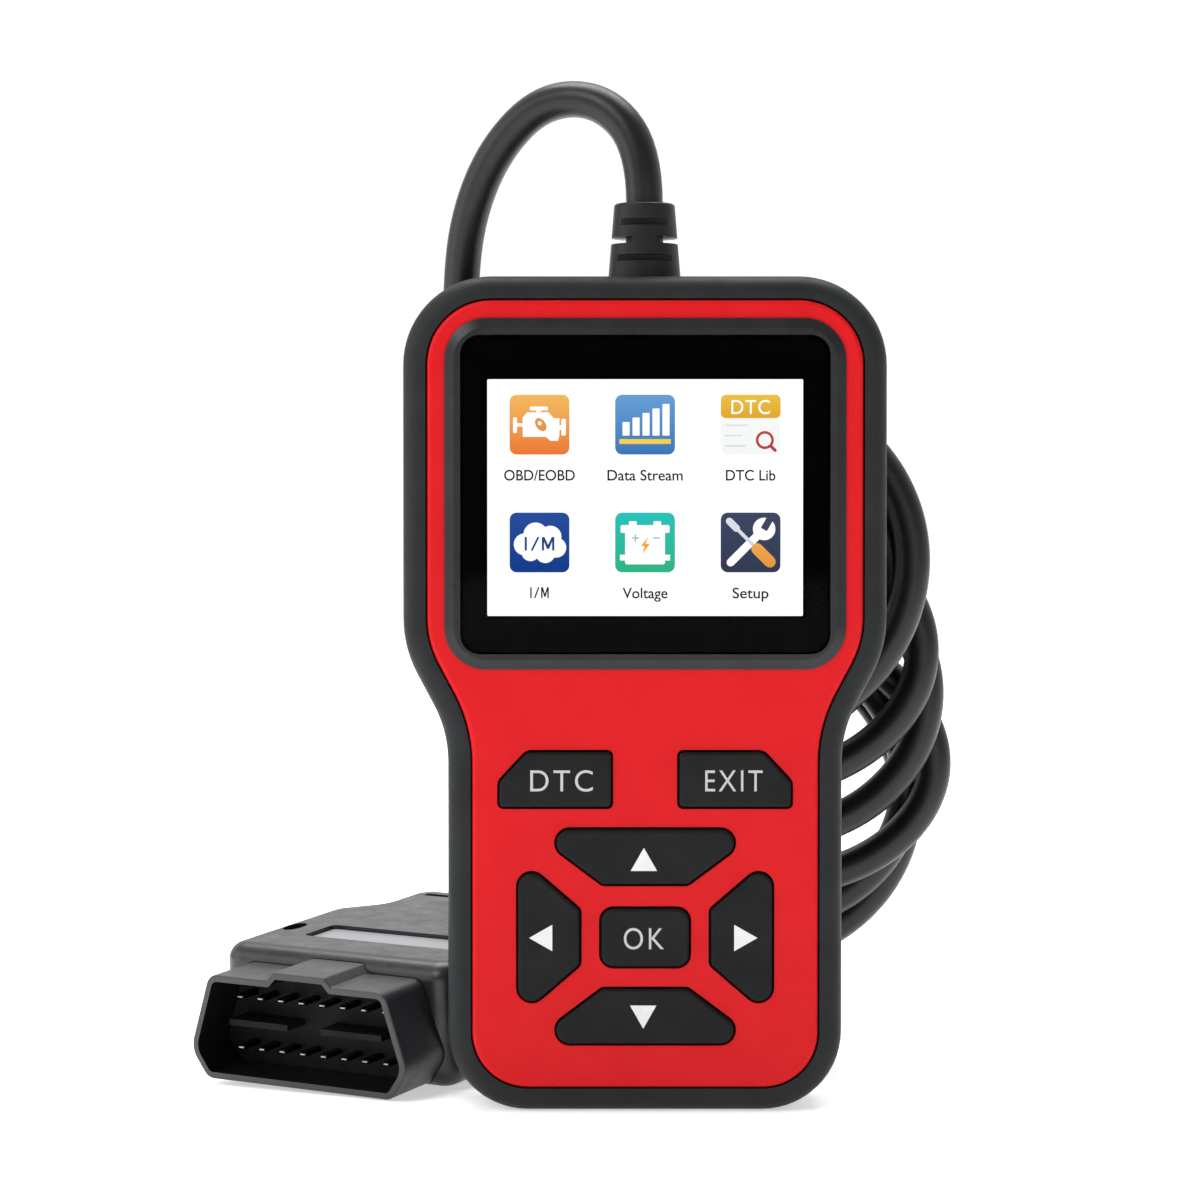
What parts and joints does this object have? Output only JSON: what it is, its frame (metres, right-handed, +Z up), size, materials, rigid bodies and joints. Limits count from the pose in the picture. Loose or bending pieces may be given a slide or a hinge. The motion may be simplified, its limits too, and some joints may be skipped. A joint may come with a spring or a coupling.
{
  "type": "obd code reader",
  "caption": "Hand-held vehicle fault-code reader with rubber bumper, colour screen, sprung keys, coiled cable and a diagnostic plug with two rows of contacts.",
  "frame": {"origin": "middle of the lower edge of the case, on the surface it stands on", "axes": "+Z up along the case, face towards -Y, +X to the right of the face"},
  "size_m": [0.1226, 0.1211, 0.1618],
  "materials": {
    "red_plastic": "satin",
    "black_plastic": "satin",
    "bumper_rubber": "matte",
    "label": "satin",
    "screw_steel": "satin",
    "screen_glass": "polished",
    "printed_black": "gloss",
    "lcd": "satin",
    "frame_plastic": "satin",
    "ribbon": "satin",
    "key_rubber": "satin",
    "dome_steel": "satin",
    "board": "satin",
    "tin": "satin",
    "chip": "matte",
    "ceramic_chip": "satin",
    "cable_pvc": "satin",
    "relief_rubber": "matte",
    "plug_plastic": "satin",
    "contact": "polished",
    "plug_label": "satin"
  },
  "bodies": {
    "root": {"front_cover": "red_plastic", "rear_cover": "black_plastic", "bumper": "bumper_rubber", "rear_label": "label", "case_screws": "screw_steel", "screen_bezel": "black_plastic", "screen_lens": "screen_glass", "lens_mask": "printed_black", "lcd_panel": "lcd", "lcd_frame": "frame_plastic", "backlight": "frame_plastic", "lcd_ribbon": "ribbon", "ribbon_connector": "frame_plastic", "keypad_mat": "key_rubber", "key_domes": "dome_steel", "main_board": "board", "board_screws": "screw_steel", "chip_legs": "tin", "processor_chip": "chip", "transceiver_chips": "chip", "memory_chip": "chip", "regulator": "chip", "crystal": "tin", "storage_capacitors": "tin", "chip_capacitors": "ceramic_chip", "buzzer": "chip", "cable_header": "frame_plastic", "header_pins": "tin", "lead_plug": "frame_plastic", "inner_lead": "cable_pvc", "strain_relief": "relief_rubber", "cable_arch": "cable_pvc", "cable_coil": "cable_pvc", "cable_tail": "cable_pvc", "plug_shroud": "plug_plastic", "plug_upper_shell": "plug_plastic", "plug_lower_shell": "plug_plastic", "pin_carrier": "plug_plastic", "pins_upper_row": "contact", "pins_lower_row": "contact", "plug_board": "board", "plug_chip": "chip", "plug_screws": "screw_steel", "plug_label": "plug_label", "plug_boot": "relief_rubber"},
    "key_dtc": {"key_dtc": "key_rubber"},
    "key_exit": {"key_exit": "key_rubber"},
    "key_up": {"key_up": "key_rubber"},
    "key_down": {"key_down": "key_rubber"},
    "key_left": {"key_left": "key_rubber"},
    "key_right": {"key_right": "key_rubber"},
    "key_ok": {"key_ok": "key_rubber"}
  },
  "joints": [
    {"name": "key_dtc_press", "type": "slide", "parent": "root", "child": "key_dtc", "axis": [0, 1, 0], "range_m": [0, 0.0006], "stiffness_N_per_m": 900},
    {"name": "key_exit_press", "type": "slide", "parent": "root", "child": "key_exit", "axis": [0, 1, 0], "range_m": [0, 0.0006], "stiffness_N_per_m": 900},
    {"name": "key_up_press", "type": "slide", "parent": "root", "child": "key_up", "axis": [0, 1, 0], "range_m": [0, 0.0006], "stiffness_N_per_m": 900},
    {"name": "key_down_press", "type": "slide", "parent": "root", "child": "key_down", "axis": [0, 1, 0], "range_m": [0, 0.0006], "stiffness_N_per_m": 900},
    {"name": "key_left_press", "type": "slide", "parent": "root", "child": "key_left", "axis": [0, 1, 0], "range_m": [0, 0.0006], "stiffness_N_per_m": 900},
    {"name": "key_right_press", "type": "slide", "parent": "root", "child": "key_right", "axis": [0, 1, 0], "range_m": [0, 0.0006], "stiffness_N_per_m": 900},
    {"name": "key_ok_press", "type": "slide", "parent": "root", "child": "key_ok", "axis": [0, 1, 0], "range_m": [0, 0.0006], "stiffness_N_per_m": 900}
  ]
}
